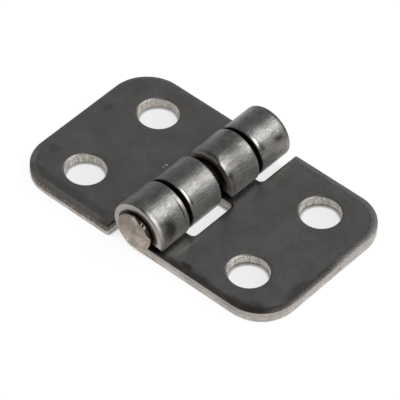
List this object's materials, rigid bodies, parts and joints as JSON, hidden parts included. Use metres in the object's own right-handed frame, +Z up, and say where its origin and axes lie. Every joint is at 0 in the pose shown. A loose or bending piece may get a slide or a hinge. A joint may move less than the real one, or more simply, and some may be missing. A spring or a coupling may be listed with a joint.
{
  "type": "butt hinge",
  "caption": "Flat steel butt hinge, two punched leaves with open rolled knuckles on a riveted pin, screw holes in each leaf.",
  "frame": {"origin": "on the mounting plane under the middle of the pin, with the hinge open flat", "axes": "+X across the leaves towards the right leaf, +Y along the pin, +Z up off the mounting plane"},
  "size_m": [0.05, 0.031, 0.0091],
  "materials": {
    "leaf_steel": "tumbled dark grey stainless sheet, bright where the knuckles were rolled",
    "pin_steel": "bare peened stainless rod"
  },
  "bodies": {
    "left_half": {"left_leaf": "leaf_steel", "hinge_pin": "pin_steel"},
    "right_half": {"right_leaf": "leaf_steel"}
  },
  "joints": [
    {"name": "leaf_swing", "type": "hinge", "parent": "left_half", "child": "right_half", "pos_m": [0, 0, 0.00455], "axis": [0, -1, 0], "range_deg": [-98, 190]}
  ]
}
